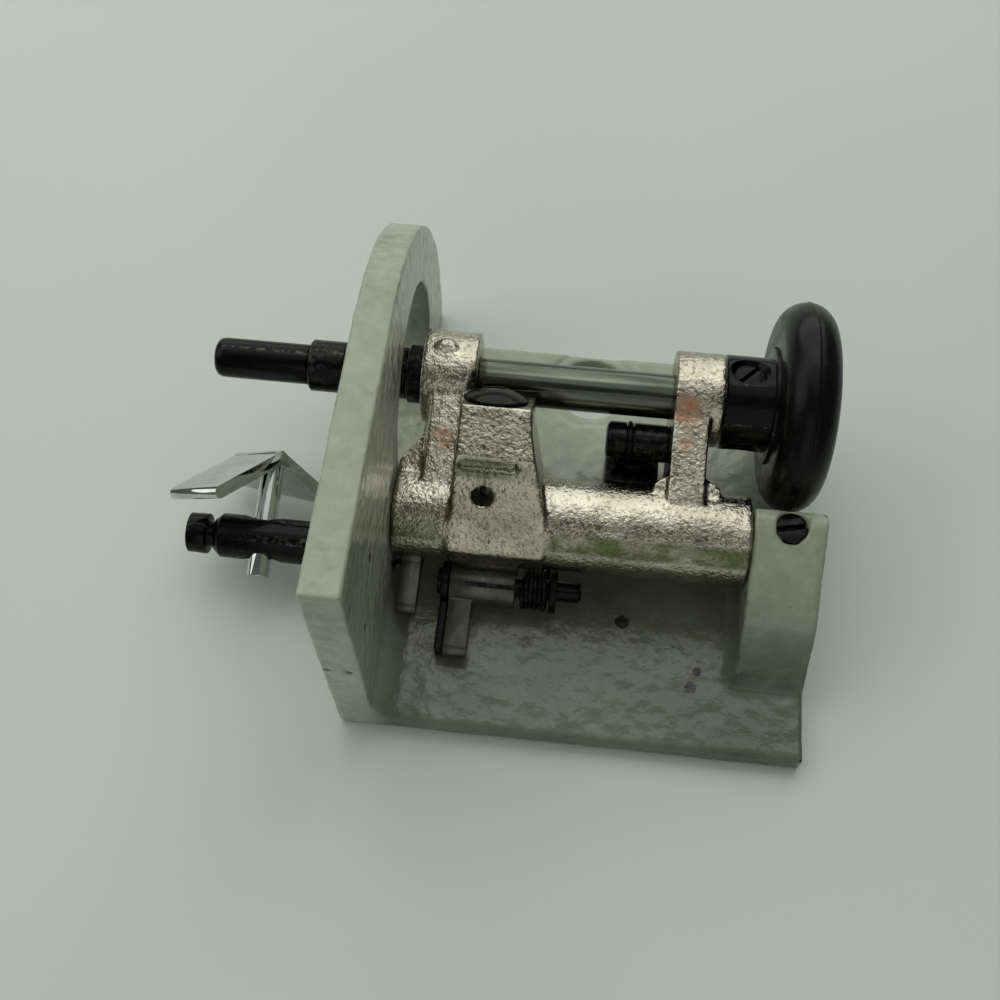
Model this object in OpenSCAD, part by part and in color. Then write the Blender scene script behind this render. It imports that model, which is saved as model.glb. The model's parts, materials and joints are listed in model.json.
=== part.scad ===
// Bobbin winder unit of a heavy leather sewing machine.
// A cast bracket carries a plated swing frame with a friction-driven spindle,
// a bobbin-full trip lever and a sprung latch pawl.
// X runs along the spindle towards the friction wheel, Y runs away from the
// operator and Z is up from the underside of the base plate. The origin is the
// centre of the mounting hole at that underside.

/* [Bracket] */
// Length of the base plate along the spindle
base_l = 85; // [84:0.5:88]
// Depth of the base plate from front to back
base_d = 85; // [84:0.5:88]
// Thickness of the base plate
base_t = 4.4; // [4:0.1:5]
// Radius of the base plate's rear corner under the wheel
base_corner_r = 25; // [15:1:30]
// Thickness of the upright face plate
face_t = 6.7; // [6:0.1:7]
// Height of the face plate above the underside
face_h = 57; // [54:0.5:60]
// Radius of the face plate's rounded rear edge
face_round_r = 46.7; // [45:0.1:48]
// Radius of the spindle opening in the face plate
window_r = 19.5; // [17:0.5:21]
// Concave radius where the face plate meets the base
root_fillet = 6; // [3:0.5:7]
// Radius of the mounting hole in the base plate
mount_r = 7.2; // [5:0.1:7.5]
// Radius of the machined spot face round the mounting hole
spot_r = 10.2; // [8:0.1:11]
// Width of the pivot lug at the wheel end
lug_w = 13; // [12:0.5:13]

/* [Swing frame] */
// Outer radius of the pivot barrel
barrel_r = 8.4; // [8:0.1:8.6]
// Radius of the pivot pin
pivot_r = 3; // [2.5:0.1:3.2]
// Outer radius of the arm ends round the spindle
arm_end_r = 8.8; // [8:0.1:9]
// Width of the arm beside the face plate
left_arm_w = 10.2; // [9:0.1:10.5]
// Width of the arm beside the wheel
right_arm_w = 8.8; // [8:0.1:9]
// Radius of the domed cap on the brake housing
cap_r = 6; // [5:0.1:6]

/* [Spindle and wheel] */
// Radius of the steel spindle
spindle_r = 4.25; // [4:0.05:4.3]
// Radius of the bobbin seat at the spindle's free end
bobbin_r = 3.8; // [3:0.1:4]
// Length of the bobbin seat
bobbin_l = 18.4; // [16:0.1:20]
// Radius of the friction wheel's hub
hub_r = 8.85; // [8:0.05:9]
// Outer radius of the rubber tyre
tyre_r = 19.8; // [18:0.1:20]
// Width of the rubber tyre
tyre_w = 10; // [9:0.2:10]

/* [Trip lever and latch] */
// Radius of the cross-drilled trip post
post_r = 4.25; // [4:0.05:4.5]
// Radius of the flat-sided feeler rod
rod_r = 2.25; // [2:0.05:2.4]
// Tilt of the feeler rod above level
rod_tilt = 17; // [10:1:20]
// Width of the feeler plate along its bend
feeler_w = 11.5; // [9:0.5:12]
// Thickness of the feeler plate
feeler_t = 2.4; // [2:0.1:2.6]
// Radius of the pawl's hub
pawl_r = 4.3; // [4:0.1:4.3]
// Turns of the pawl's torsion spring
spring_turns = 5; // [4:1:6]

/* [Hidden] */
$fn = 72;

// Running clearance on a radius, clearance of a fixed fit, and a cutter's overshoot
run = 0.03;
fixed = 0.01;
over = 1;

// Axes, measured from the near outer corner of the casting
hole_x = 41.4;
hole_y = 76.7;
pivot_y = 35.7;
pivot_z = 19.2;
spindle_y = 60.5;
spindle_z = 27.5;
post_y = 30.6;
post_z = 11.2;
pawl_y = 26.5;
pawl_z = 9.6;
stud_y = 53.7;
stud_z = 21.5;
window_y = 62;
window_z = 22;

// Stations along X
lug_x = base_l - lug_w;
barrel_x0 = 7;
barrel_x1 = lug_x - 0.3;
left_arm_x = 9.4;
right_arm_x = 56.2;
right_arm_x1 = right_arm_x + right_arm_w;
hub_x0 = right_arm_x1 + 0.5;
hub_x1 = 74;
tyre_x0 = 74.3;
rim_x0 = 74.8;
rim_x1 = 83.6;
bobbin_x0 = -31;
collar_x0 = bobbin_x0 + bobbin_l;
washer_x0 = 6.2;
post_x0 = -28;
rod_x = -18.9;
stub_x1 = 12.2;
finger_x0 = 8.3;
pawl_plate_x = 16.3;
pawl_plate_t = 1.4;
pawl_x0 = 17.9;
pawl_x1 = 30.2;
coil_x0 = 31;
pawl_pin_x1 = 42.6;

// Derived sizes
barrel_flat = -4.4;
rim_r = 12.3;
tenon_r = 3;
journal_r = 2.97;
stub_r = 2.3;
pawl_pin_r = 2;
stud_r = 3.6;
wire_r = 0.42;
coil_r = 3.75;
web_inset = 2.2;
arm_angle = atan2(spindle_z - pivot_z, spindle_y - pivot_y);
arm_length = norm([spindle_y - pivot_y, spindle_z - pivot_z]);
brake_angle = 45;
brake_end = 22.3;
cap_gap = 0.15;
brake_x = 23.8;
brake_bore_r = 3.2;
face_angle = 50;
screw_x = 78.7;
block_top = 14.6;
stop_top = stud_z - stud_r - 0.1;

// ---------- helpers ----------

// Moves the casting's corner so that the mounting hole is at the origin
module from_corner() {
    translate([-hole_x, -hole_y, 0]) children();
}

// A round bar along X between two stations
module x_bar(r, x0, x1) {
    translate([x0, 0, 0]) rotate([0, 90, 0]) cylinder(r = r, h = x1 - x0);
}

// A conical bar along X, for chamfers
module x_cone(r0, r1, x0, x1) {
    translate([x0, 0, 0]) rotate([0, 90, 0]) cylinder(r1 = r0, r2 = r1, h = x1 - x0);
}

// A profile drawn in Y and Z, given a thickness along X
module x_plate(x0, x1) {
    translate([x0, 0, 0]) rotate([90, 0, 90]) linear_extrude(x1 - x0) children();
}

// A slotted set screw standing on its tip at the origin
module set_screw(r, h, slot_w) {
    difference() {
        cylinder(r = r, h = h);
        translate([-r - over, -slot_w / 2, h - 1.3]) cube([2 * r + 2 * over, slot_w, 2]);
    }
}

// A round wire swept through a list of points
module wire(path, r, sides = 10) {
    n = len(path);
    function unit(v) = v / norm(v);
    function along(i) = unit(path[min(i + 1, n - 1)] - path[max(i - 1, 0)]);
    function side(t) = unit(cross(t, abs(t[2]) < 0.9 ? [0, 0, 1] : [0, 1, 0]));
    ring = [
        for (i = [0:n - 1], k = [0:sides - 1])
            let (t = along(i), a = side(t), b = cross(t, a), w = 360 * k / sides)
                path[i] + r * (cos(w) * a + sin(w) * b)
    ];
    walls = [
        for (i = [0:n - 2], k = [0:sides - 1])
            [i * sides + k, i * sides + (k + 1) % sides, (i + 1) * sides + (k + 1) % sides, (i + 1) * sides + k]
    ];
    first = [[for (k = [sides - 1:-1:0]) k]];
    last = [[for (k = [0:sides - 1]) (n - 1) * sides + k]];
    polyhedron(ring, concat(first, walls, last));
}

// Points of a coil about X, with a chosen start angle
function coil(x0, x1, r, turns, start) = [
    for (i = [0:20 * turns])
        let (a = start + 18 * i) [x0 + (x1 - x0) * i / (20 * turns), r * cos(a), r * sin(a)]
];

// ---------- bracket ----------

// Plan of the base plate, with its rounded rear corner
module base_outline() {
    square([base_l, base_d - base_corner_r]);
    square([base_l - base_corner_r, base_d]);
    translate([base_l - base_corner_r, base_d - base_corner_r]) circle(base_corner_r, $fn = 120);
}

// Side view of the face plate: straight front and top, rounded rear
module face_outline() {
    round_y = 50.3;
    intersection() {
        union() {
            square([round_y, face_h]);
            translate([round_y, face_h - face_round_r]) circle(face_round_r, $fn = 180);
        }
        square([round_y + face_round_r + over, face_h]);
    }
}

// Side view of the pivot lug: an inclined front rising to a rounded crown
module lug_outline() {
    hull() {
        translate([12.5, 0]) square([1, base_t]);
        translate([22.2, 14.6]) circle(3, $fn = 32);
        translate([36.6, 25.4]) circle(2.6, $fn = 32);
        translate([39.4, 17]) circle(2.6, $fn = 32);
        translate([42, 0]) square([1, base_t]);
    }
}

module bracket_casting() {
    color("#b9bcae") from_corner() difference() {
        union() {
            linear_extrude(base_t) base_outline();
            x_plate(0, face_t) face_outline();
            x_plate(lug_x, base_l) lug_outline();
            // concave root along the face plate
            translate([face_t, base_d, base_t]) rotate([90, 0, 0]) linear_extrude(base_d) difference() {
                translate([-1, -1]) square(root_fillet + 1);
                translate([root_fillet, root_fillet]) circle(root_fillet);
            }
            // concave root along the lug
            translate([lug_x, 42, base_t]) rotate([90, 0, 0]) linear_extrude(28) difference() {
                translate([-4, -1]) square([5, 5]);
                translate([-4, 4]) circle(4);
            }
        }
        // spindle window
        translate([-over, window_y, window_z]) rotate([0, 90, 0]) cylinder(r = window_r, h = face_t + 2 * over, $fn = 120);
        // mounting hole and its spot face
        translate([hole_x, hole_y, -over]) cylinder(r = mount_r, h = base_t + 2 * over);
        translate([hole_x, hole_y, base_t - 0.5]) cylinder(r = spot_r, h = 1);
        // pivot pin: blind in the face plate, through in the lug
        translate([0, pivot_y, pivot_z]) x_bar(pivot_r + fixed, 1.8, face_t + over);
        translate([0, pivot_y, pivot_z]) x_bar(pivot_r + fixed, lug_x - over, base_l + over);
        // set screw down onto the pin
        translate([screw_x, pivot_y, pivot_z]) cylinder(r = 2.9, h = 20);
        // trip post journal
        translate([0, post_y, post_z]) x_bar(journal_r + run, -over, face_t + over);
        // screw holes of the stop block and of the pawl bracket
        translate([50.3, stud_y, -over]) cylinder(r = 1.6, h = base_t + 2 * over);
        translate([50.3, stud_y, -0.01]) cylinder(r1 = 3.2, r2 = 1.6, h = 1.6);
        translate([22.6, 33.6, -over]) cylinder(r = 1.5, h = base_t + 2 * over);
    }
}

module pivot_pin() {
    color("#8d8f8c") from_corner() translate([0, pivot_y, pivot_z]) {
        x_bar(pivot_r, 2, base_l - 1);
        x_cone(pivot_r, pivot_r - 0.6, base_l - 1, base_l - 0.4);
    }
}

module pivot_set_screw() {
    color("#1e1f1f") from_corner() translate([screw_x, pivot_y, pivot_z + pivot_r + 0.05])
        rotate([0, 0, 15]) set_screw(2.88, 4.2, 1);
}

module stop_block() {
    color("#1b1c1c") from_corner() difference() {
        translate([45.2, 48.6, base_t]) cube([10.2, 9.9, block_top - base_t]);
        translate([50.3, stud_y, base_t - over]) cylinder(r = 1.6, h = 5.4 + over);
        translate([50.3, stud_y, block_top - 5]) cylinder(r = 2.01, h = 5 + over);
    }
}

module stop_block_screw() {
    color("#6f716f") from_corner() translate([50.3, stud_y, 0.05]) difference() {
        union() {
            cylinder(r1 = 3.1, r2 = 1.55, h = 1.55);
            translate([0, 0, 1]) cylinder(r = 1.55, h = 7.8);
        }
        translate([-4, -0.45, -over]) cube([8, 0.9, 1.7]);
    }
}

module stop_screw() {
    color("#232424") from_corner() translate([50.3, stud_y, 0]) {
        translate([0, 0, block_top + 0.05]) cylinder(r = 3.7, h = stop_top - block_top - 0.05);
        translate([0, 0, block_top - 4.8]) cylinder(r = 2, h = 4.95);
    }
}

// ---------- swing frame ----------

// Barrel section: round above, cut flat below, with a lip along the front
module barrel_outline() {
    difference() {
        circle(barrel_r);
        translate([-10, barrel_flat - 10]) square([20, 10]);
    }
    translate([-7.7, barrel_flat]) square([6, 3.2]);
}

// Side view of an arm's web, from the barrel to the spindle
module web_outline() {
    rotate(arm_angle) translate([0, -7.4]) square([arm_length, 14.8]);
}

// Side view of an arm's round boss
module boss_outline() {
    rotate(arm_angle) translate([arm_length, 0]) circle(arm_end_r);
}

// Side view of the brake housing, rising from the barrel to the cap
module housing_outline() {
    polygon([[-8.5, -4.4], [-9, 2.5], [2.9, 16.7], [11.4, 20.1], [20, 11.5], [4, -4.4]]);
}

// The housing tapers, wide at its root and narrow under the cap
module housing_block() {
    intersection() {
        x_plate(15, 36) housing_outline();
        rotate([brake_angle - 90, 0, 0]) translate([0, 30, 0]) rotate([90, 0, 0]) linear_extrude(60)
            polygon([[16.9, -8], [35.2, -8], [34.6, 4], [31.2, 18], [30.6, 24], [17.9, 24], [17.7, 4]]);
    }
}

// A web that thickens an arm where it meets the barrel
module arm_root(x0, x1, reach) {
    rotate([arm_angle, 0, 0]) translate([0, 0, -5.5]) linear_extrude(11)
        polygon([[x0, 0], [x1, 0], [x1, barrel_r + reach], [x0, barrel_r]]);
}

module swing_frame() {
    color("#aaa491") from_corner() translate([0, pivot_y, pivot_z]) difference() {
        union() {
            x_plate(barrel_x0, barrel_x1) barrel_outline();
            x_plate(left_arm_x, left_arm_x + left_arm_w) boss_outline();
            x_plate(left_arm_x + web_inset, left_arm_x + left_arm_w) web_outline();
            x_plate(right_arm_x, right_arm_x1) boss_outline();
            x_plate(right_arm_x, right_arm_x1 - web_inset) web_outline();
            housing_block();
            arm_root(barrel_x0, left_arm_x + web_inset + 2, 9);
            arm_root(right_arm_x - 2.4, right_arm_x + 2, 3.4);
            arm_root(right_arm_x1 + 0.8, right_arm_x1 - web_inset - 2, 3);
            // round casting mark on the arm beside the face plate
            rotate([arm_angle, 0, 0]) translate([13.6, arm_length + 3.2, 7]) cylinder(r = 1.8, h = 1.6);
        }
        // pivot bore and the two spindle bores
        x_bar(pivot_r + run, barrel_x0 - over, barrel_x1 + over);
        rotate([arm_angle, 0, 0]) translate([0, arm_length, 0]) {
            x_bar(spindle_r + run, left_arm_x - over, left_arm_x + left_arm_w + over);
            x_bar(spindle_r + run, right_arm_x - over, right_arm_x1 + over);
        }
        // brake bore, from the cap down to the pivot pin
        rotate([brake_angle - 90, 0, 0]) translate([brake_x, 0, 0]) cylinder(r = brake_bore_r, h = brake_end + over);
        // relief in the arm beside the cap's rim
        rotate([brake_angle - 90, 0, 0]) translate([brake_x, 0, brake_end]) cylinder(r = cap_r + cap_gap, h = 4);
        // oil hole and shallow groove in the housing's front face
        translate([0, 2.9, 16.7]) rotate([face_angle, 0, 0]) {
            translate([23.2, -7.4, -6]) cylinder(r = 1.9, h = 6 + over);
            translate([18.6, -2.4, -0.6]) cube([10.6, 1.8, 0.6 + over]);
        }
        // seat of the stop stud
        translate([0, stud_y - pivot_y, stud_z - pivot_z]) x_bar(2.01, right_arm_x - over, right_arm_x + 5);
    }
}

module brake_plunger() {
    color("#8d8f8c") from_corner() translate([brake_x, pivot_y, pivot_z]) rotate([brake_angle - 90, 0, 0])
        translate([0, 0, pivot_r + 0.05]) cylinder(r = brake_bore_r - run, h = 6);
}

module brake_spring() {
    z0 = pivot_r + 6.6;
    z1 = brake_end - 4.6;
    color("#7d7f7e") from_corner() translate([brake_x, pivot_y, pivot_z]) rotate([brake_angle - 90, 0, 0])
        rotate([0, -90, 0]) wire(coil(z0, z1, 2.4, 5, 0), 0.4, 8);
}

module brake_cap() {
    color("#17181a") from_corner() translate([brake_x, pivot_y, pivot_z]) rotate([brake_angle - 90, 0, 0])
        translate([0, 0, brake_end]) difference() {
            union() {
                translate([0, 0, -4]) cylinder(r = brake_bore_r - cap_gap, h = 4.4);
                rotate_extrude() intersection() {
                    translate([0, -8.6]) circle(10.9, $fn = 180);
                    translate([0, cap_gap]) square([cap_r, 4]);
                }
            }
            translate([-8, -0.7, 1.5]) cube([16, 1.4, 3]);
        }
}

module stop_stud() {
    color("#202123") from_corner() translate([0, stud_y, stud_z]) difference() {
        union() {
            x_cone(stud_r - 0.7, stud_r, 44.6, 45.3);
            x_bar(stud_r, 45.3, right_arm_x - 0.02);
            x_bar(2, right_arm_x - 0.1, right_arm_x + 4.8);
        }
        difference() {
            x_bar(stud_r + over, 48.3, 49.7);
            x_bar(2.9, 48, 50);
        }
    }
}

module stud_ring() {
    color("#3c3d3e") from_corner() translate([0, stud_y, stud_z]) difference() {
        rotate([90, 0, 0]) union() {
            x_bar(3.5, 48.45, 49.55);
            translate([0, 0, -3.6]) x_bar(0.7, 48.45, 49.55);
        }
        x_bar(2.92, 48, 50);
    }
}

// ---------- spindle ----------

module spindle_shaft() {
    color("#9a9a92") from_corner() translate([0, spindle_y, spindle_z]) {
        x_bar(tenon_r, -6, 9.1);
        x_bar(spindle_r, 9, rim_x1);
        x_cone(spindle_r, spindle_r - 0.6, rim_x1, rim_x1 + 0.6);
    }
}

module bobbin_spindle() {
    color("#161718") from_corner() translate([0, spindle_y, spindle_z]) difference() {
        union() {
            x_cone(bobbin_r - 1, bobbin_r, bobbin_x0, bobbin_x0 + 1);
            x_bar(bobbin_r, bobbin_x0 + 1, collar_x0 + 0.1);
            x_bar(4.9, collar_x0, washer_x0 - 0.05);
        }
        x_bar(tenon_r + fixed, -6.5, 10);
    }
}

module spindle_washer() {
    color("#141516") from_corner() translate([0, spindle_y, spindle_z]) difference() {
        x_bar(5.5, washer_x0, 8.95);
        x_bar(tenon_r + fixed, 0, 10);
    }
}

module hub_screw_places() {
    for (a = [80, 200])
        rotate([a - 90, 0, 0]) translate([69.4, 0, 0]) children();
}

module wheel_hub() {
    color("#18191b") from_corner() translate([0, spindle_y, spindle_z]) difference() {
        union() {
            x_bar(hub_r, hub_x0, hub_x1);
            x_bar(rim_r - 1.5, hub_x1 - 0.1, rim_x0 + 0.1);
            x_bar(rim_r, rim_x0, rim_x1);
        }
        x_bar(spindle_r + fixed, hub_x0 - over, rim_x1 + over);
        hub_screw_places() {
            cylinder(r = 2.6, h = hub_r + over);
            translate([0, 0, hub_r - 1.1]) cylinder(r1 = 2.6, r2 = 4.4, h = 1.8);
        }
    }
}

module hub_set_screws() {
    color("#303133") from_corner() translate([0, spindle_y, spindle_z]) hub_screw_places()
        translate([0, 0, spindle_r + 0.02]) rotate([0, 0, 50]) set_screw(2.58, 3.4, 0.9);
}

module rubber_tyre() {
    crown = tyre_w / 2;
    color("#1a1a1b") from_corner() translate([tyre_x0 + crown, spindle_y, spindle_z]) rotate([0, 90, 0]) difference() {
        rotate_extrude($fn = 144) {
            translate([tyre_r - crown, 0]) circle(crown);
            translate([rim_r + fixed, -crown]) square([tyre_r - crown - rim_r - fixed, tyre_w]);
        }
        translate([0, 0, -crown - over]) cylinder(r = rim_r + fixed, h = tyre_w + 2 * over);
    }
}

// ---------- trip lever ----------

// Puts the origin at the rod's crossing of the post, with +Y along the rod
module on_rod() {
    from_corner() translate([rod_x, post_y, post_z]) rotate([rod_tilt, 0, 0]) children();
}

module trip_post() {
    color("#151617") difference() {
        from_corner() translate([0, post_y, post_z]) {
            x_cone(post_r - 1.1, post_r, post_x0, post_x0 + 1.3);
            x_bar(post_r, post_x0 + 1.3, -0.3);
            x_bar(journal_r, -0.4, face_t + 0.3);
            x_bar(stub_r, face_t, stub_x1);
        }
        // thread of the clamp screw
        from_corner() translate([0, post_y, post_z]) x_bar(2.5, post_x0 - over, rod_x);
        // cross hole with wide countersinks
        on_rod() rotate([90, 0, 0]) {
            translate([0, 0, -8]) cylinder(r = rod_r + run, h = 16);
            for (s = [0, 180])
                rotate([s, 0, 0]) translate([0, 0, post_r - 1.4]) cylinder(r1 = rod_r, r2 = rod_r + 3, h = 2.4);
        }
    }
}

module trip_finger() {
    reach = 10;
    slope = 10;
    color("#8b8c88") from_corner() translate([finger_x0, post_y, post_z]) difference() {
        x_plate(0, 3.7) {
            circle(2.8);
            rotate(slope) translate([-reach, -1.9]) square([reach, 3.8]);
            rotate(slope) translate([-reach, 0]) circle(1.9);
        }
        x_bar(stub_r + fixed, -over, 3.7 + over);
    }
}

module trip_clamp_screw() {
    color("#1a1b1c") from_corner() translate([0, post_y, post_z]) difference() {
        union() {
            x_bar(3.85, -33, -29.4);
            x_bar(2.45, -29.5, rod_x - rod_r - 0.02);
        }
        rotate([25, 0, 0]) translate([-34, -5, -0.65]) cube([2.6, 10, 1.3]);
    }
}

module trip_rod() {
    color("#b5b8b6") on_rod() intersection() {
        rotate([-90, 0, 0]) translate([0, 0, -7.4]) cylinder(r = rod_r, h = 22.4);
        translate([-rod_r, -8, -5]) cube([2 * rod_r - 0.35, 24, 10]);
    }
}

// Side view of the bent plate: a finger tab rising from the ridge, and a foot falling from it
module feeler_outline(tab_l, foot_l) {
    rotate(34.5) translate([-feeler_t, 0]) square([feeler_t, tab_l]);
    rotate(34.5) translate([-feeler_t / 2, tab_l]) circle(feeler_t / 2 - 0.01);
    rotate(-17) translate([-feeler_t, -foot_l]) square([feeler_t, foot_l]);
    translate([-feeler_t / 2, 0]) circle(feeler_t / 2 + 0.02);
}

// The foot is wider than the tab, with a rounded side, and is cut level at the bottom
module trip_feeler() {
    foot_l = 16.8;
    corner_r = 4;
    color("#c9cccb") intersection() {
        on_rod() rotate([0, -29, 0]) translate([2.4, 17.2, 0.6]) {
            x_plate(-feeler_w, 0) feeler_outline(18.8, foot_l);
            rotate([-17, 0, 0]) translate([-feeler_w, 0, -foot_l]) rotate([90, 0, 0]) linear_extrude(feeler_t) {
                translate([-2, 0]) square([2.5, 13]);
                translate([-2, 9]) circle(corner_r);
            }
        }
        translate([-120, -120, 2.6]) cube([160, 160, 60]);
    }
}

// ---------- latch pawl ----------

module pawl_bracket() {
    color("#161717") from_corner() difference() {
        union() {
            translate([0, pawl_y, pawl_z]) x_plate(pawl_plate_x, pawl_plate_x + pawl_plate_t) {
                circle(4.2);
                translate([-13.6, -4.8]) square([13.6, 4.4]);
                translate([0, -5.15]) square([10.6, 5]);
            }
            translate([pawl_plate_x, 30.4, base_t + 0.05]) cube([10, 6.7, 1.5]);
        }
        translate([0, pawl_y, pawl_z]) x_bar(pawl_pin_r + fixed, 10, 30);
        translate([22.6, 33.6, 0]) cylinder(r = 1.5, h = 8);
    }
}

module pawl_bracket_screw() {
    color("#2a2b2b") from_corner() translate([22.6, 33.6, 0]) difference() {
        union() {
            translate([0, 0, 0.6]) cylinder(r = 1.48, h = 6);
            translate([0, 0, base_t + 1.6]) cylinder(r = 2.6, h = 1.9);
        }
        translate([-4, -0.4, base_t + 2.6]) cube([8, 0.8, 2]);
    }
}

module pawl_pin() {
    color("#141515") from_corner() translate([0, pawl_y, pawl_z]) {
        x_bar(2.8, pawl_plate_x - 0.8, pawl_plate_x - 0.02);
        x_bar(pawl_pin_r, pawl_plate_x - 0.1, pawl_pin_x1 - 0.5);
        x_cone(pawl_pin_r, pawl_pin_r - 0.5, pawl_pin_x1 - 0.5, pawl_pin_x1);
    }
}

module pawl_washer() {
    color("#1c1d1d") from_corner() translate([0, pawl_y, pawl_z]) difference() {
        x_bar(4.4, 36.7, 38);
        x_bar(pawl_pin_r + fixed, 36, 39);
    }
}

module latch_pawl() {
    leg_l = 12.6;
    leg_w = 4.5;
    color("#7d7c79") from_corner() translate([0, pawl_y, pawl_z]) difference() {
        union() {
            x_bar(pawl_r, pawl_x0, pawl_x1);
            x_plate(pawl_x0, pawl_x0 + leg_w) rotate(9) {
                translate([-leg_l, -2.2]) square([leg_l, 4]);
                translate([-leg_l, -0.2]) circle(2);
            }
        }
        x_bar(pawl_pin_r + run, pawl_x0 - over, pawl_x1 + over);
    }
}

module pawl_spring() {
    reach = coil_r + 1.25;
    hook_x = pawl_x1 + 0.5;
    hook = [for (x = [21, hook_x]) [x, reach * cos(118), reach * sin(118)]];
    turns = coil(coil_x0 + 0.5, 36, coil_r, spring_turns + 0.5, 118);
    tail = [[36.1, 4, -2.12], [36.1, 6.2, -0.97]];
    color("#131414") from_corner() translate([0, pawl_y, pawl_z]) wire(concat(hook, turns, tail), wire_r);
}

bracket_casting();
pivot_pin();
pivot_set_screw();
stop_block();
stop_block_screw();
stop_screw();
swing_frame();
brake_plunger();
brake_spring();
brake_cap();
stop_stud();
stud_ring();
spindle_shaft();
bobbin_spindle();
spindle_washer();
wheel_hub();
hub_set_screws();
rubber_tyre();
trip_post();
trip_finger();
trip_clamp_screw();
trip_rod();
trip_feeler();
pawl_bracket();
pawl_bracket_screw();
pawl_pin();
pawl_washer();
latch_pawl();
pawl_spring();
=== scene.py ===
import json
import math

import bpy
from mathutils import Euler, Matrix, Vector

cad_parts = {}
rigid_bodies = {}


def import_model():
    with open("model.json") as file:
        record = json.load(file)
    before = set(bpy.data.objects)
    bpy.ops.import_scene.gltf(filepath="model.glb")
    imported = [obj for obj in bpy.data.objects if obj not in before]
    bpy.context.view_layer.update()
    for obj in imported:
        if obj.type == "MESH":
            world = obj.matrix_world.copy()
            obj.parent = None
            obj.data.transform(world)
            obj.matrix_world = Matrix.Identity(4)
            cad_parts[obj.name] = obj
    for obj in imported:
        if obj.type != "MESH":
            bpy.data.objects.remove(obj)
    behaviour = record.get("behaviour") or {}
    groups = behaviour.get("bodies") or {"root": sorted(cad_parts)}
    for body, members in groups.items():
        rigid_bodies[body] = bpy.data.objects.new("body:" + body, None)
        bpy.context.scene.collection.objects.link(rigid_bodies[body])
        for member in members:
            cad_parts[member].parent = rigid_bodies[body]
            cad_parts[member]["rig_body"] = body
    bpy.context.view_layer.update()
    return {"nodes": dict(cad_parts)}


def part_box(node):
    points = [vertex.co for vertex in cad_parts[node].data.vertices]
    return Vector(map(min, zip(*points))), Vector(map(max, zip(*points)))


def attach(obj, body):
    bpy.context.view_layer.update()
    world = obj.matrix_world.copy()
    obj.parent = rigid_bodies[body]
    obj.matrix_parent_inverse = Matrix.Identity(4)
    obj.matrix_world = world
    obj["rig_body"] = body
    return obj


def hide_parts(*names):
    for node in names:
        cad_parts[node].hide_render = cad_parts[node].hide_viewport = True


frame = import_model()

# ---------------------------------------------------------------- painted bracket
# The bracket is one sand casting in grey iron: a base plate, a face plate with the spindle window,
# and the pivot lug. It was sprayed with a hammered enamel, and only the spot face of its mounting
# hole was machined afterwards. The enamel is chipped along the corners.


def tint(code):
    """An sRGB hex colour as a linear colour with full alpha."""
    parts = [int(code[i : i + 2], 16) / 255 for i in (1, 3, 5)]
    return [p / 12.92 if p <= 0.04045 else ((p + 0.055) / 1.055) ** 2.4 for p in parts] + [1.0]


def node(material, kind, settings=None, **links):
    """Adds a shader node. Settings are sockets by name or number, or the node's own properties."""
    made = material.node_tree.nodes.new("ShaderNode" + kind)
    for key, value in (settings or {}).items():
        if isinstance(key, int) or key in made.inputs:
            made.inputs[key].default_value = value
        else:
            setattr(made, key, value)
    for key, source in links.items():
        socket = int(key[1:]) if key[1:].isdigit() else key.replace("_", " ")
        material.node_tree.links.new(source, made.inputs[socket])
    return made


def new_material(name):
    """An empty node material with its object coordinates."""
    material = bpy.data.materials.new(name)
    material.use_nodes = True
    material.node_tree.nodes.clear()
    place = node(material, "TexCoord").outputs["Object"]
    return material, place


def finish_material(material, shader):
    output = node(material, "OutputMaterial")
    material.node_tree.links.new(shader.outputs[0], output.inputs["Surface"])
    return material


def noise(material, place, size_mm, detail=3.0, rough=0.55):
    """Noise whose lumps are about size_mm across."""
    settings = {"Scale": 500 / size_mm, "Detail": detail, "Roughness": rough}
    return node(material, "TexNoise", settings, Vector=place).outputs["Fac"]


def ramp(material, source, low, high, colours=("#000000", "#ffffff")):
    """Spreads a value from low to high over two colours."""
    made = node(material, "ValToRGB", {}, Fac=source)
    for stop, at, colour in zip(made.color_ramp.elements, (low, high), colours):
        stop.position = at
        stop.color = tint(colour)
    return made.outputs["Color"]


def mix(material, share, first, second):
    """Two colours mixed by a share. Each is a socket or a hex colour."""
    made = node(material, "Mix", {"data_type": "RGBA"}, _0=share)
    for place, colour in ((6, first), (7, second)):
        if isinstance(colour, str):
            made.inputs[place].default_value = tint(colour)
        else:
            material.node_tree.links.new(colour, made.inputs[place])
    return made.outputs[2]


def maths(material, operation, first, second):
    """Two values combined. Each is a socket or a number."""
    made = node(material, "Math", {"operation": operation})
    for place, value in enumerate((first, second)):
        if isinstance(value, (int, float)):
            made.inputs[place].default_value = value
        else:
            material.node_tree.links.new(value, made.inputs[place])
    return made.outputs[0]


def product(material, *values):
    """All the values multiplied together."""
    total = values[0]
    for value in values[1:]:
        total = maths(material, "MULTIPLY", total, value)
    return total


def largest(material, *values):
    """The largest of the values."""
    total = values[0]
    for value in values[1:]:
        total = maths(material, "MAXIMUM", total, value)
    return total


def spots(material, place, centres_mm):
    """1 at each centre and 0 beyond its radius. A centre is (x, y, z, radius) in mm."""
    total = None
    for x, y, z, radius in centres_mm:
        settings = {"Location": [-v / radius for v in (x, y, z)], "Scale": [1000 / radius] * 3}
        move = node(material, "Mapping", settings, Vector=place).outputs[0]
        ball = node(material, "TexGradient", {"gradient_type": "SPHERICAL"}, Vector=move).outputs["Fac"]
        total = ball if total is None else maths(material, "MAXIMUM", total, ball)
    return total


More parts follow.
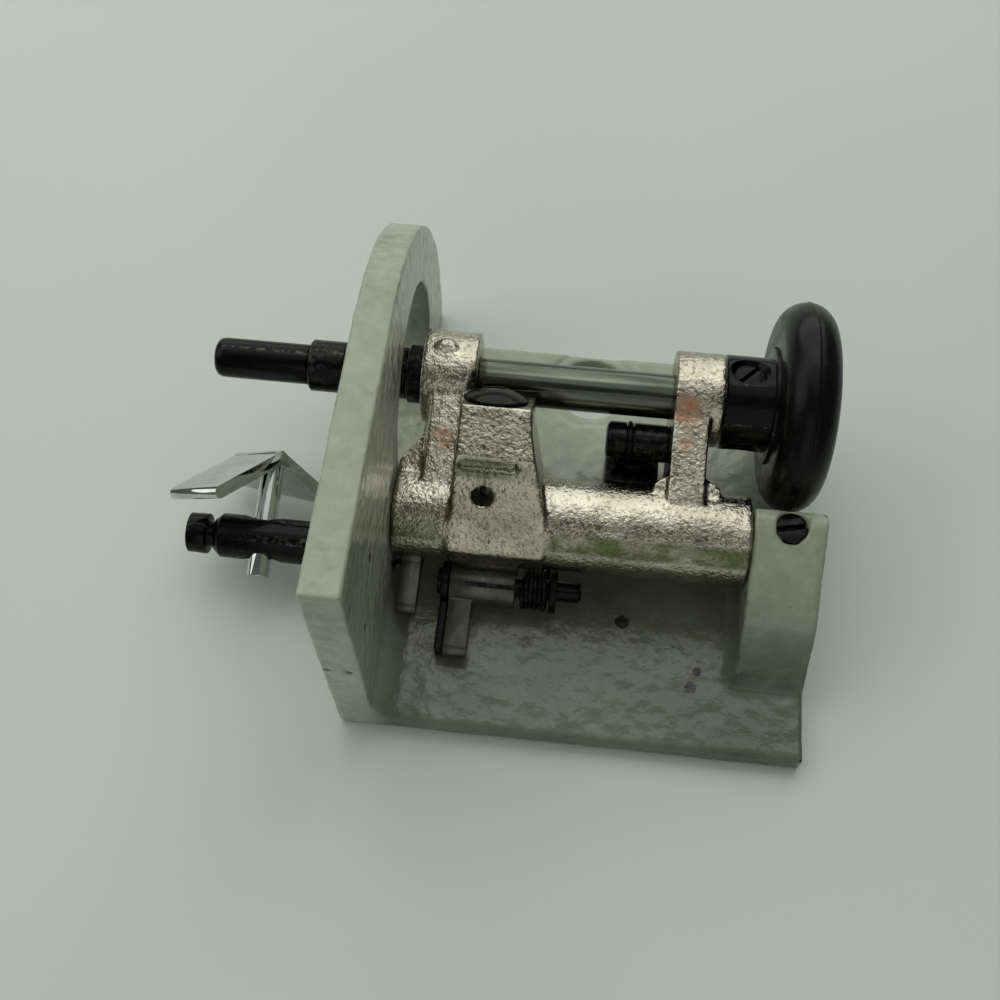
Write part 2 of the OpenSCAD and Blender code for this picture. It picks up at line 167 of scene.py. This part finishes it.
def between(material, value, zero_at, one_at):
    """Goes smoothly from 0 to 1 as a value goes from zero_at to one_at."""
    settings = {"interpolation_type": "SMOOTHSTEP", "From Min": zero_at, "From Max": one_at}
    return node(material, "MapRange", settings, Value=value).outputs["Result"]


def hammered_enamel():
    """Hammered enamel on cast iron: lumps with a soft gloss, a painted shade in the well under the
    barrel, and chips down to black iron along the corners."""
    material, place = new_material("hammered_enamel_on_cast_iron")
    mottle = ramp(material, noise(material, place, 8.0), 0.35, 0.68, ("#979b89", "#a9ad9b"))
    fleck = ramp(material, noise(material, place, 1.3), 0.45, 0.75)
    colour = mix(material, maths(material, "MULTIPLY", fleck, 0.35), mottle, "#bfc3b2")
    axes = node(material, "SeparateXYZ", {}, Vector=place)
    # painted shade: low down in the well under the barrel, towards the front and inside the face plate, the
    # enamel is darkened
    low = between(material, axes.outputs["Z"], 0.026, 0.006)
    forward = between(material, axes.outputs["Y"], -0.022, -0.040)
    inside = between(material, axes.outputs["X"], -0.0365, -0.031)
    painted_shade_under_barrel = product(material, low, forward, inside)
    cloud = ramp(material, noise(material, place, 14.0, 4.0), 0.2, 0.75, ("#c4c4c4", "#ffffff"))
    # painted shade: the well is mixed in soft clouds towards dark olive #3c3f2e, standing in for the
    # barrel's shadow
    colour = mix(material, product(material, painted_shade_under_barrel, cloud, 0.9), colour, "#3c3f2e")
    corner = ramp(material, node(material, "NewGeometry").outputs["Pointiness"], 0.53, 0.58)
    torn = ramp(material, noise(material, place, 1.8, 5.0, 0.7), 0.585, 0.62)
    chip = maths(material, "MULTIPLY", corner, torn)
    knocks = [
        (9.5, -53.0, 4.4, 2.4),
        (22.9, -64.8, 4.4, 2.2),
        (24.0, -61.5, 4.4, 1.6),
        (43.5, -38.1, 27.0, 1.8),
        (43.9, -77.0, 4.4, 2.0),
    ]
    ragged = product(material, spots(material, place, knocks), noise(material, place, 0.8, 4.0, 0.7))
    knock = ramp(material, ragged, 0.20, 0.26)
    nicks = [
        (-37.0, -75.9, 27.0, 2.2),
        (-40.4, -76.2, 27.2, 1.6),
        (-34.6, -70.0, 31.0, 1.4),
        (-34.6, -60.5, 38.0, 1.5),
    ]
    jagged = product(material, spots(material, place, nicks), noise(material, place, 0.7, 4.0, 0.7))
    nick = ramp(material, jagged, 0.2, 0.25)
    stain = ramp(material, noise(material, place, 1.1, 2.0), 0.76, 0.79)
    bare = largest(material, chip, stain, knock, nick)
    colour = mix(material, bare, colour, "#1d1c17")
    gloss = ramp(material, noise(material, place, 2.0), 0.3, 0.7, ("#585858", "#7c7c7c"))
    lumps = noise(material, place, 1.4, 0.5)
    peel = noise(material, place, 0.45, 2.0)
    height = maths(material, "ADD", lumps, maths(material, "MULTIPLY", peel, 0.22))
    bump = node(material, "Bump", {"Strength": 1.0, "Distance": 0.00038}, Height=height)
    shader = node(
        material,
        "BsdfPrincipled",
        {"Coat Weight": 0.05, "Coat Roughness": 0.25, "Specular IOR Level": 0.36},
        Base_Color=colour,
        Roughness=gloss,
        Normal=bump.outputs[0],
    )
    return finish_material(material, shader)


def only(piece):
    """Makes one object the only selected one, and the active one."""
    bpy.ops.object.select_all(action="DESELECT")
    piece.select_set(True)
    bpy.context.view_layer.objects.active = piece


def merged_copy(node_name, name):
    """A copy of a CAD node's mesh as a new piece, with its loose triangles merged into faces."""
    piece = bpy.data.objects.new(name, frame["nodes"][node_name].data.copy())
    bpy.context.scene.collection.objects.link(piece)
    only(piece)
    bpy.ops.object.mode_set(mode="EDIT")
    bpy.ops.mesh.select_all(action="SELECT")
    bpy.ops.mesh.remove_doubles(threshold=2e-6)
    bpy.ops.mesh.dissolve_limited(angle_limit=math.radians(0.6))
    bpy.ops.object.mode_set(mode="OBJECT")
    if piece.data.has_custom_normals:
        bpy.ops.mesh.customdata_custom_splitnormals_clear()
    return piece


def apply_modifier(piece, kind, **settings):
    """Adds a modifier with its settings and applies it."""
    only(piece)
    made = piece.modifiers.new(kind.lower(), kind)
    for key, value in settings.items():
        setattr(made, key, value)
    bpy.ops.object.modifier_apply(modifier=made.name)


def cast_skin(piece, voxel_mm, rounds, lumps):
    """Gives a casting its rounded corners and the unevenness of sand. Lumps are (size, height) in mm."""
    apply_modifier(piece, "REMESH", mode="VOXEL", voxel_size=voxel_mm / 1000, adaptivity=0.0)
    apply_modifier(piece, "SMOOTH", factor=0.5, iterations=rounds)
    for size_mm, height_mm in lumps:
        sand = bpy.data.textures.new("sand", "CLOUDS")
        sand.noise_scale = size_mm / 1000
        sand.noise_depth = 2
        apply_modifier(
            piece, "DISPLACE", texture=sand, strength=height_mm / 1000, mid_level=0.5, texture_coords="LOCAL"
        )
    only(piece)
    bpy.ops.object.shade_smooth()


def dress(piece, material):
    """Gives a piece its only material, in a single slot."""
    piece.data.materials.clear()
    piece.data.materials.append(material)


def take_over(piece, node_name):
    """The piece rides on the node's body and stands for it."""
    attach(piece, frame["nodes"][node_name]["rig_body"])
    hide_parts(node_name)


enamel = hammered_enamel()
bracket = merged_copy("bracket_casting", "painted_bracket")
cast_skin(bracket, 0.58, 4, [(1.5, 0.16), (9.0, 0.25)])
dress(bracket, enamel)
take_over(bracket, "bracket_casting")

# ---------------------------------------------------------------- plated swing frame
# The swing frame is cast iron too, left rough and plated with nickel. The barrel turns on the pivot
# pin, the arms hold the spindle, and the housing holds the brake. A dark green band along the barrel
# is a painted reflection, and rust is raised on both arms.


def plated_casting():
    """Nickel plate over a rough casting: bright grains, dull pits, a painted green reflection band and rust.
    """
    material, place = new_material("nickel_plate_on_rough_casting")
    tone = ramp(material, noise(material, place, 3.0), 0.3, 0.7, ("#a09b8a", "#cbc6b7"))
    pits = ramp(material, noise(material, place, 0.45, 3.0), 0.34, 0.48, ("#5d584a", "#ffffff"))
    pitted = node(material, "Mix", {"data_type": "RGBA", "blend_type": "MULTIPLY", 0: 0.55})
    material.node_tree.links.new(tone, pitted.inputs[6])
    material.node_tree.links.new(pits, pitted.inputs[7])
    axes = node(material, "SeparateXYZ", {}, Vector=place)
    along, across, up = (axes.outputs[name] for name in "XYZ")
    # painted reflection: a dark green stripe low on the barrel beside the arms, and a fainter one higher up,
    # stand in for dark surroundings reflected in the curved plate
    reflection_band = product(
        material,
        between(material, up, 0.0222, 0.0232),
        between(material, up, 0.0262, 0.0254),
        between(material, across, -0.0452, -0.0466),
    )
    beside = largest(
        material, between(material, along, -0.0075, -0.0045), between(material, along, -0.0245, -0.0265)
    )
    groove = product(
        material,
        between(material, up, 0.0325, 0.0332),
        between(material, up, 0.0352, 0.0347),
        between(material, across, -0.0376, -0.0382),
    )
    torn = ramp(material, noise(material, place, 4.0, 4.0), 0.30, 0.55)
    green_reflection = largest(material, product(material, reflection_band, beside), product(material, groove, 0.8))
    # painted reflection: the stripes are mixed towards dark green #4a5526
    colour = mix(material, product(material, green_reflection, torn, 0.85), pitted.outputs[2], "#4a5526")
    patches = [(-26.7, -32.3, 33.5, 5.0), (17.2, -24.4, 36.0, 5.0), (17.4, -29.5, 34.4, 4.5)]
    grit = ramp(material, noise(material, place, 0.8, 4.0, 0.7), 0.40, 0.50)
    rust = product(material, ramp(material, spots(material, place, patches), 0.1, 0.55), grit)
    colour = mix(material, rust, colour, "#b9601a")
    rough = ramp(material, noise(material, place, 0.9), 0.3, 0.7, ("#545454", "#8a8a8a"))
    rough = maths(material, "ADD", rough, maths(material, "MULTIPLY", rust, 0.5))
    metal = maths(material, "SUBTRACT", 1.0, maths(material, "MULTIPLY", rust, 0.9))
    grains = noise(material, place, 0.38, 2.0, 0.6)
    bump = node(material, "Bump", {"Strength": 1.0, "Distance": 0.00022}, Height=grains)
    shader = node(
        material,
        "BsdfPrincipled",
        {},
        Base_Color=colour,
        Metallic=metal,
        Roughness=rough,
        Normal=bump.outputs[0],
    )
    return finish_material(material, shader)


plated = plated_casting()
swing = merged_copy("swing_frame", "plated_swing_frame")
cast_skin(swing, 0.40, 5, [(0.9, 0.05), (4.0, 0.14)])
dress(swing, plated)
take_over(swing, "swing_frame")

# ---------------------------------------------------------------- pivot pin and its set screw
# A plain ground pin passes through the lug and the barrel into the face plate. A slotted set screw in
# the top of the lug holds it. The screw is blackened and stands a little proud.


def grain_along(material, place, scale, detail):
    """Noise drawn out along an axis, with its scale per metre on X, Y and Z."""
    stretch = node(material, "Mapping", {"Scale": scale}, Vector=place).outputs[0]
    return node(material, "TexNoise", {"Scale": 1.0, "Detail": detail}, Vector=stretch).outputs["Fac"]


def ground_steel():
    """Ground bar: fine rings round the axis, a few dark specks, and a sheen of oil."""
    material, place = new_material("ground_steel_bar")
    rings = grain_along(material, place, (4000.0, 90.0, 90.0), 2.0)
    streaks = grain_along(material, place, (60.0, 900.0, 900.0), 3.0)
    tone = ramp(material, streaks, 0.3, 0.7, ("#484a42", "#6a6c62"))
    speck = ramp(material, noise(material, place, 0.8, 3.0), 0.72, 0.76)
    colour = mix(material, speck, tone, "#3a3a34")
    rough = ramp(material, rings, 0.3, 0.7, ("#606060", "#808080"))
    bump = node(material, "Bump", {"Strength": 0.25, "Distance": 0.00003}, Height=rings)
    shader = node(
        material,
        "BsdfPrincipled",
        {"Metallic": 1.0},
        Base_Color=colour,
        Roughness=rough,
        Normal=bump.outputs[0],
    )
    return finish_material(material, shader)


def black_oxide(name, low, high, wear):
    """Black oxide on turned steel: nearly black, slightly cloudy gloss, and grey where it has rubbed."""
    material, place = new_material(name)
    cloud = ramp(material, noise(material, place, 2.5), 0.3, 0.7, ("#030403", "#0b0c0b"))
    edge = ramp(material, node(material, "NewGeometry").outputs["Pointiness"], 0.54, 0.62)
    worn = ramp(material, noise(material, place, 0.6, 4.0, 0.7), 0.48, 0.62)
    rub = product(material, edge, worn, wear)
    colour = mix(material, rub, cloud, "#6e6f69")
    rough = ramp(material, noise(material, place, 1.0), 0.3, 0.7, (low, high))
    fine = noise(material, place, 0.35, 2.0)
    bump = node(material, "Bump", {"Strength": 0.3, "Distance": 0.00004}, Height=fine)
    shader = node(
        material,
        "BsdfPrincipled",
        {"Metallic": 0.0, "Specular IOR Level": 0.14},
        Base_Color=colour,
        Roughness=rough,
        Normal=bump.outputs[0],
    )
    return finish_material(material, shader)


def eased_copy(node_name, name, ease_mm, material, steps=2):
    """A CAD node's shape as a new piece, with its sharp edges rounded by ease_mm."""
    piece = merged_copy(node_name, name)
    apply_modifier(
        piece,
        "BEVEL",
        width=ease_mm / 1000,
        segments=steps,
        limit_method="ANGLE",
        angle_limit=math.radians(28),
        use_clamp_overlap=True,
    )
    only(piece)
    bpy.ops.object.shade_smooth_by_angle(angle=math.radians(32))
    dress(piece, material)
    take_over(piece, node_name)
    return piece


steel = ground_steel()
oxide = black_oxide("black_oxide_on_steel", "#6a6a6a", "#8e8e8e", 0.8)
eased_copy("pivot_pin", "ground_pivot_pin", 0.15, steel)
eased_copy("pivot_set_screw", "lug_set_screw", 0.18, oxide)

# ---------------------------------------------------------------- stop block and stop screw
# A square black block is screwed to the base from below. A round screw head on top of it is the stop
# that the frame's stud comes down on.

satin = black_oxide("dull_black_oxide_on_steel", "#8a8a8a", "#a8a8a8", 0.5)
eased_copy("stop_block", "square_stop_block", 0.35, satin)
eased_copy("stop_screw", "round_stop_screw", 0.4, oxide, 3)
eased_copy("stop_block_screw", "block_fixing_screw", 0.1, steel)

# ---------------------------------------------------------------- brake under the domed cap
# The brake's plunger and spring sit in the housing, out of sight. The cap over them is a domed,
# slotted head, turned and blackened, with a thin sharp rim.


def turned(name, profile_mm, centre, steps=96):
    """A turned piece about an axis along X through centre. Profile points are (x, radius) in mm."""
    bpy.ops.object.select_all(action="DESELECT")
    x0, r0 = profile_mm[0]
    bpy.ops.mesh.primitive_plane_add(size=0.001, location=(0, 0, 0))
    piece = bpy.context.object
    piece.name = piece.data.name = name
    bpy.ops.object.mode_set(mode="EDIT")
    bpy.ops.mesh.select_mode(type="VERT")
    bpy.ops.mesh.select_all(action="SELECT")
    bpy.ops.mesh.merge(type="CENTER")
    bpy.ops.transform.translate(value=(x0 / 1000, 0, r0 / 1000))
    for (xa, ra), (xb, rb) in zip(profile_mm, profile_mm[1:]):
        move = ((xb - xa) / 1000, 0, (rb - ra) / 1000)
        bpy.ops.mesh.extrude_region_move(TRANSFORM_OT_translate={"value": move})
    bpy.ops.mesh.select_all(action="SELECT")
    bpy.ops.mesh.spin(steps=steps, angle=math.tau, center=(0, 0, 0), axis=(1, 0, 0))
    bpy.ops.mesh.select_all(action="SELECT")
    bpy.ops.mesh.remove_doubles(threshold=1e-6)
    bpy.ops.mesh.normals_make_consistent(inside=False)
    bpy.ops.object.mode_set(mode="OBJECT")
    piece.data.transform(placed(centre))
    return piece


def placed(centre, turn_deg=(0, 0, 0)):
    """The matrix that turns a piece about the origin and then moves it to centre."""
    turn = Euler([math.radians(a) for a in turn_deg]).to_matrix().to_4x4()
    return Matrix.Translation(Vector(centre)) @ turn


def cut_box(piece, centre, size_mm, turn_deg=(0, 0, 0)):
    """Cuts a box of size_mm out of a piece."""
    bpy.ops.object.select_all(action="DESELECT")
    bpy.ops.mesh.primitive_cube_add(size=1)
    cutter = bpy.context.object
    cutter.data.transform(placed(centre, turn_deg) @ Matrix.Diagonal([*(s / 1000 for s in size_mm), 1.0]))
    apply_modifier(piece, "BOOLEAN", object=cutter, operation="DIFFERENCE", solver="EXACT")
    bpy.data.objects.remove(cutter)


def ease(piece, ease_mm, steps=2, angle=30):
    """Rounds a piece's sharp edges and shades it smooth."""
    apply_modifier(
        piece,
        "BEVEL",
        width=ease_mm / 1000,
        segments=steps,
        limit_method="ANGLE",
        angle_limit=math.radians(angle),
    )
    only(piece)
    bpy.ops.object.shade_smooth_by_angle(angle=math.radians(32))


# the brake's axis leaves the pivot pin at this angle above level, and its seat is this far out
BRAKE_ANGLE = 45
SEAT_OUT = 0.0223
pivot = (Vector(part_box("pivot_pin")[0]) + Vector(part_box("pivot_pin")[1])) / 2
brake_x = sum(corner.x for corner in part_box("brake_plunger")) / 2
away = Vector((0, math.cos(math.radians(BRAKE_ANGLE)), math.sin(math.radians(BRAKE_ANGLE))))
seat = Vector((brake_x, pivot.y, pivot.z)) + away * SEAT_OUT
dome = [
    (0.05, 0.0), (0.05, 5.3), (0.12, 5.85), (0.3, 6.0), (0.5, 5.92), (0.72, 5.5), (1.1, 4.8), (1.5, 3.9),
    (1.85, 2.9), (2.1, 1.9), (2.25, 0.9), (2.3, 0.0),
]
cap = turned("domed_brake_cap", dome, (0, 0, 0))
cut_box(cap, (0.0026, 0, 0), (1.6, 1.2, 3.2))
upright = placed((0, 0, 0), (0, -90, 0))
cap.data.transform(placed(seat, (BRAKE_ANGLE - 90, 0, 0)) @ upright)
ease(cap, 0.1)
dress(cap, oxide)
take_over(cap, "brake_cap")
dress(frame["nodes"]["brake_plunger"], steel)
dress(frame["nodes"]["brake_spring"], satin)

# ---------------------------------------------------------------- stop stud and its ring
# The stop stud is turned from black bar and pressed into the right arm. A split ring sits in a groove
# near its free end.

stud_low, stud_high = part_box("stop_stud")
stud_axis = (0, (stud_low.y + stud_high.y) / 2, (stud_low.z + stud_high.z) / 2)
s0 = stud_low.x * 1000
stud_profile = [
    (s0, 0), (s0, 2.7), (s0 + 0.25, 3.25), (s0 + 0.8, 3.58), (s0 + 3.5, 3.6), (s0 + 3.7, 3.45),
    (s0 + 3.72, 2.9), (s0 + 5.08, 2.9), (s0 + 5.1, 3.45), (s0 + 5.3, 3.6), (s0 + 11.3, 3.6),
    (s0 + 11.58, 3.35), (s0 + 11.58, 0),
]
stud = turned("grooved_stop_stud", stud_profile, stud_axis)
only(stud)
bpy.ops.object.shade_smooth_by_angle(angle=math.radians(32))
dress(stud, oxide)
take_over(stud, "stop_stud")

# split ring: a round wire that almost closes, with its gap at the back
bpy.ops.object.select_all(action="DESELECT")
ring_x = s0 / 1000 + 0.0044
bpy.ops.mesh.primitive_torus_add(
    major_radius=0.00335,
    minor_radius=0.00052,
    major_segments=72,
    minor_segments=14,
    rotation=(0, math.radians(90), 0),
)
ring = bpy.context.object
ring.name = ring.data.name = "split_ring"
bpy.ops.object.transform_apply(rotation=True)
bpy.ops.object.mode_set(mode="EDIT")
bpy.ops.mesh.select_all(action="DESELECT")
bpy.ops.object.mode_set(mode="OBJECT")
for polygon in ring.data.polygons:
    polygon.select = polygon.center.y > 0.0028 and abs(polygon.center.z) < 0.0006
bpy.ops.object.mode_set(mode="EDIT")
bpy.ops.mesh.select_mode(type="FACE")
bpy.ops.mesh.delete(type="FACE")
bpy.ops.mesh.select_mode(type="EDGE")
bpy.ops.mesh.select_all(action="DESELECT")
bpy.ops.mesh.select_non_manifold()
bpy.ops.mesh.fill_holes(sides=0)
bpy.ops.mesh.select_all(action="SELECT")
bpy.ops.mesh.normals_make_consistent(inside=False)
bpy.ops.object.mode_set(mode="OBJECT")
ring.data.transform(placed((ring_x, stud_axis[1], stud_axis[2])))
only(ring)
bpy.ops.object.shade_smooth_by_angle(angle=math.radians(40))
dress(ring, satin)
take_over(ring, "stud_ring")

# ---------------------------------------------------------------- spindle and bobbin seat
# The spindle is ground bar, which runs in both arms. The black bobbin seat with its collar is a
# separate turned piece on the spindle's thinner end, with a washer between it and the arm.

eased_copy("spindle_shaft", "ground_spindle", 0.2, steel)
spin_low, spin_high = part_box("spindle_shaft")
spindle_axis = (0, (spin_low.y + spin_high.y) / 2, (spin_low.z + spin_high.z) / 2)
seat_low, seat_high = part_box("bobbin_spindle")
b0, b1 = seat_low.x * 1000, seat_high.x * 1000
c0 = b0 + 18.4
seat_profile = [
    (b0, 0), (b0, 2.3), (b0 + 0.15, 2.9), (b0 + 0.5, 3.4), (b0 + 1.1, 3.7), (b0 + 1.9, 3.8),
    (c0 - 0.5, 3.8), (c0 - 0.3, 3.6), (c0 - 0.02, 3.6), (c0, 3.6), (c0, 4.6), (c0 + 0.3, 4.9),
    (c0 + 6.6, 4.9), (c0 + 6.8, 4.7), (c0 + 7.3, 4.7), (c0 + 7.5, 4.9), (b1 - 0.3, 4.9), (b1, 4.6), (b1, 0),
]
bobbin_seat = turned("turned_bobbin_seat", seat_profile, spindle_axis)
only(bobbin_seat)
bpy.ops.object.shade_smooth_by_angle(angle=math.radians(32))
dress(bobbin_seat, oxide)
take_over(bobbin_seat, "bobbin_spindle")
w0, w1 = (corner.x * 1000 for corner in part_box("spindle_washer"))
washer_profile = [
    (w0, 3.05), (w0, 5.3), (w0 + 0.2, 5.5), (w1 - 0.2, 5.5), (w1, 5.3), (w1, 3.05), (w0, 3.05),
]
washer = turned("spindle_spacer", washer_profile, spindle_axis)
only(washer)
bpy.ops.object.shade_smooth_by_angle(angle=math.radians(32))
dress(washer, satin)
take_over(washer, "spindle_washer")

# ---------------------------------------------------------------- friction wheel
# The wheel is a black turned hub with two countersunk set screws, and a moulded rubber tyre pressed
# over its rim. The tyre has a fine seam round its crown, where the mould parted.


def moulded_rubber():
    """Moulded black rubber: matt, faintly grained, greyed by handling."""
    material, place = new_material("moulded_black_rubber")
    bloom = ramp(material, noise(material, place, 6.0), 0.35, 0.75, ("#050606", "#0e100f"))
    dust = ramp(material, noise(material, place, 0.5, 2.0), 0.70, 0.78)
    colour = mix(material, maths(material, "MULTIPLY", dust, 0.35), bloom, "#5b5f58")
    rough = ramp(material, noise(material, place, 2.0), 0.3, 0.7, ("#7c7c7c", "#a0a0a0"))
    grain = noise(material, place, 0.4, 3.0)
    bump = node(material, "Bump", {"Strength": 0.35, "Distance": 0.00006}, Height=grain)
    shader = node(
        material,
        "BsdfPrincipled",
        {"Specular IOR Level": 0.17},
        Base_Color=colour,
        Roughness=rough,
        Normal=bump.outputs[0],
    )
    return finish_material(material, shader)


eased_copy("wheel_hub", "turned_wheel_hub", 0.25, oxide)
eased_copy("hub_set_screws", "wheel_set_screws", 0.15, satin)
tyre_low, tyre_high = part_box("rubber_tyre")
t0, t1 = tyre_low.x * 1000, tyre_high.x * 1000
half = (t1 - t0) / 2
middle = (t0 + t1) / 2
crown = (tyre_high.y - tyre_low.y) / 2 * 1000 - half
# the inner lip of the tyre reaches down over the rim's left side
tyre_profile = [(t0 + 0.45, 12.4), (t0 + 0.45, 11.0), (t0 + 0.15, 11.0), (t0 + 0.02, 11.3), (t0, 13.3)]
ARC_STEPS = 32
for step in range(ARC_STEPS + 1):
    angle = math.radians(180 - step * 180 / ARC_STEPS)
    at = middle + (half - 0.02) * math.cos(angle)
    radius = crown + (half - 0.12) * math.sin(angle)
    if step == ARC_STEPS // 2:
        seam = [(-0.28, 0.0), (-0.12, 0.1), (0.12, 0.1), (0.28, 0.0)]
        tyre_profile += [(middle + aside, radius + proud) for aside, proud in seam]
    else:
        tyre_profile.append((at, radius))
tyre_profile += [(t1, 13.3), (t1 - 0.02, 13.0), (t1 - 0.02, 12.4), (t0 + 0.45, 12.4)]
tyre = turned("moulded_rubber_tyre", tyre_profile, spindle_axis, 144)
only(tyre)
bpy.ops.object.shade_smooth_by_angle(angle=math.radians(35))
dress(tyre, moulded_rubber())
take_over(tyre, "rubber_tyre")

# ---------------------------------------------------------------- trip lever and feeler
# The trip post is a black bar with a countersunk cross hole. A slotted screw in its end clamps a
# chrome rod, which carries a bent and plated plate that feels how full the bobbin is.


def chrome_plate():
    """Bright chrome over pressed steel: mirror-like, with faint haze and rubbed-in marks."""
    material, place = new_material("bright_chrome_plate")
    haze = ramp(material, noise(material, place, 5.0), 0.35, 0.7, ("#101010", "#2c2c2c"))
    tone = ramp(material, noise(material, place, 2.0), 0.3, 0.8, ("#bcc3be", "#d9dedb"))
    wave = noise(material, place, 6.0, 1.0)
    bump = node(material, "Bump", {"Strength": 0.12, "Distance": 0.00015}, Height=wave)
    shader = node(
        material,
        "BsdfPrincipled",
        {"Metallic": 1.0},
        Base_Color=tone,
        Roughness=haze,
        Normal=bump.outputs[0],
    )
    return finish_material(material, shader)


chrome = chrome_plate()
eased_copy("trip_post", "cross_drilled_post", 0.2, oxide)
eased_copy("trip_clamp_screw", "slotted_clamp_screw", 0.25, oxide, 3)
eased_copy("trip_rod", "flat_sided_rod", 0.15, chrome)
eased_copy("trip_feeler", "bent_feeler_plate", 0.35, chrome, 3)

# ---------------------------------------------------------------- latch pawl and finger
# Under the barrel a small steel pawl turns on a black pin, held by a black torsion spring. The trip
# post's finger reaches in beside it. Both are milled from bar and left dull.


def milled_steel():
    """Milled mild steel, dull and slightly brown, with cutter marks along it."""
    material, place = new_material("dull_milled_steel")
    marks = grain_along(material, place, (1800.0, 160.0, 160.0), 3.0)
    tone = ramp(material, noise(material, place, 2.0), 0.3, 0.7, ("#45443d", "#66645b"))
    stain = ramp(material, noise(material, place, 1.2, 4.0), 0.62, 0.75)
    colour = mix(material, maths(material, "MULTIPLY", stain, 0.7), tone, "#3e362b")
    rough = ramp(material, marks, 0.3, 0.7, ("#868686", "#a4a4a4"))
    bump = node(material, "Bump", {"Strength": 0.35, "Distance": 0.00006}, Height=marks)
    shader = node(
        material,
        "BsdfPrincipled",
        {"Metallic": 0.85},
        Base_Color=colour,
        Roughness=rough,
        Normal=bump.outputs[0],
    )
    return finish_material(material, shader)


milled = milled_steel()
eased_copy("trip_finger", "trip_post_finger", 0.25, milled)
eased_copy("latch_pawl", "milled_latch_pawl", 0.25, milled)
eased_copy("pawl_bracket", "pawl_mounting_plate", 0.15, satin)
eased_copy("pawl_bracket_screw", "plate_fixing_screw", 0.15, oxide)
eased_copy("pawl_pin", "black_pawl_pin", 0.15, oxide)
eased_copy("pawl_washer", "pawl_spring_washer", 0.15, satin)
spring = merged_copy("pawl_spring", "pawl_torsion_spring")
only(spring)
bpy.ops.object.shade_smooth_by_angle(angle=math.radians(50))
dress(spring, satin)
take_over(spring, "pawl_spring")

# ---------------------------------------------------------------- table, light and camera
# The unit stands on a pale painted board, lit softly from behind and above, and is seen from the
# front, high up.


def painted_board():
    """Matt pale board: slightly cloudy, with a few specks of dust."""
    material, place = new_material("pale_painted_board")
    cloud = ramp(material, noise(material, place, 120.0, 2.0), 0.3, 0.7, ("#ccd0c9", "#d3d7d0"))
    dust = ramp(material, noise(material, place, 1.4, 2.0), 0.80, 0.82)
    colour = mix(material, maths(material, "MULTIPLY", dust, 0.4), cloud, "#8b9184")
    shader = node(material, "BsdfPrincipled", {"Roughness": 0.6}, Base_Color=colour)
    return finish_material(material, shader)


bpy.ops.object.select_all(action="DESELECT")
bpy.ops.mesh.primitive_plane_add(size=3.0, location=(0, 0, -0.0002))
board = bpy.context.object
board.name = "table_board"
board.data.materials.append(painted_board())

scene = bpy.context.scene
scene.view_settings.view_transform = "Standard"
world = bpy.data.worlds.new("soft_room")
world.use_nodes = True
world.node_tree.nodes["Background"].inputs["Color"].default_value = tint("#eaf0ea")
world.node_tree.nodes["Background"].inputs["Strength"].default_value = 0.13
scene.world = world


def soft_light(name, place, target, size, watts, colour):
    """A soft square light at place, facing target."""
    lamp = bpy.data.lights.new(name, "AREA")
    lamp.shape = "SQUARE"
    lamp.size = size
    lamp.energy = watts
    lamp.color = tint(colour)[:3]
    holder = bpy.data.objects.new(name, lamp)
    scene.collection.objects.link(holder)
    holder.location = place
    holder.rotation_euler = (Vector(target) - Vector(place)).to_track_quat("-Z", "Y").to_euler()


soft_light("window_behind", (-0.12, 0.85, 0.80), (0, 0, 0), 1.60, 10.8, "#fbfff9")
soft_light("window_left", (-0.80, 0.00, 0.62), (0, 0, 0), 0.80, 2.3, "#fbfff9")
soft_light("ceiling", (0.05, 0.12, 1.00), (0, 0, 0), 0.90, 1.5, "#fbfffa")
soft_light("room_in_front", (0.10, -0.95, 0.45), (0, 0, 0), 0.90, 1.3, "#fbfff9")

eye = bpy.data.cameras.new("eye")
eye.lens = 43.2
eye.sensor_width = 36.0
eye.clip_start = 0.01
viewer = bpy.data.objects.new("eye", eye)
scene.collection.objects.link(viewer)
viewer.location = (-0.00372, -0.1445, 0.21666)
viewer.rotation_euler = [math.radians(a) for a in (28.682, 0.0575, 6.2088)]
scene.camera = viewer
